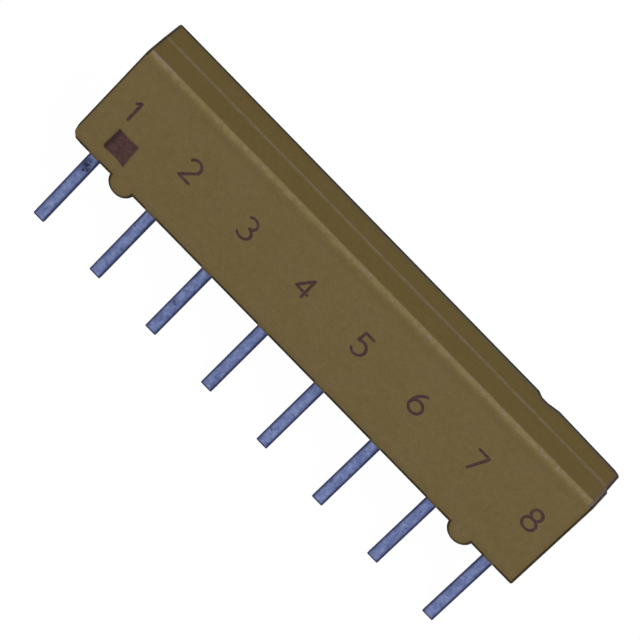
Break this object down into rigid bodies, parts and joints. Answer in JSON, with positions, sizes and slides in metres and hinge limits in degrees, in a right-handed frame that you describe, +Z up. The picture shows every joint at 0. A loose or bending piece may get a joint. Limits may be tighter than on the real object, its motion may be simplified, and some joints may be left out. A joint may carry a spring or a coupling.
{
  "type": "resistor network",
  "caption": "Moulded single-in-line resistor network: a slim block with round feet and a row of flat tinned leads, holding resistor films on a ceramic strip.",
  "frame": {"origin": "middle of the row of leads, on the seating plane under the feet", "axes": "+X along the row of leads from lead 1 to the last lead, front face along -Y, +Z up away from the board"},
  "size_m": [0.0198, 0.0025, 0.0082],
  "materials": {
    "moulding": "matt olive epoxy moulding with fine grain, paler where its edges are worn",
    "tinned_lead": "bluish tinned copper, mottled, with dark eased edges",
    "alumina": "fired white alumina, fine matt grain",
    "conductor_film": "fired silver alloy film, satin",
    "resistor_film": "fired black oxide film, matt",
    "glaze": "fired green glass, glossy",
    "solder": "bright tin solder",
    "ink": "dark brown stamped ink, matt"
  },
  "bodies": {
    "root": {"moulded_body": "moulding", "ceramic_substrate": "alumina", "overglaze": "glaze", "lead_1": "tinned_lead", "lead_2": "tinned_lead", "lead_3": "tinned_lead", "lead_4": "tinned_lead", "lead_5": "tinned_lead", "lead_6": "tinned_lead", "lead_7": "tinned_lead", "lead_8": "tinned_lead", "land_1": "conductor_film", "land_2": "conductor_film", "land_3": "conductor_film", "land_4": "conductor_film", "land_5": "conductor_film", "land_6": "conductor_film", "land_7": "conductor_film", "land_8": "conductor_film", "solder_joint_1": "solder", "solder_joint_2": "solder", "solder_joint_3": "solder", "solder_joint_4": "solder", "solder_joint_5": "solder", "solder_joint_6": "solder", "solder_joint_7": "solder", "solder_joint_8": "solder", "resistor_film_1": "resistor_film", "resistor_film_2": "resistor_film", "resistor_film_3": "resistor_film", "resistor_film_4": "resistor_film"}
  },
  "joints": []
}
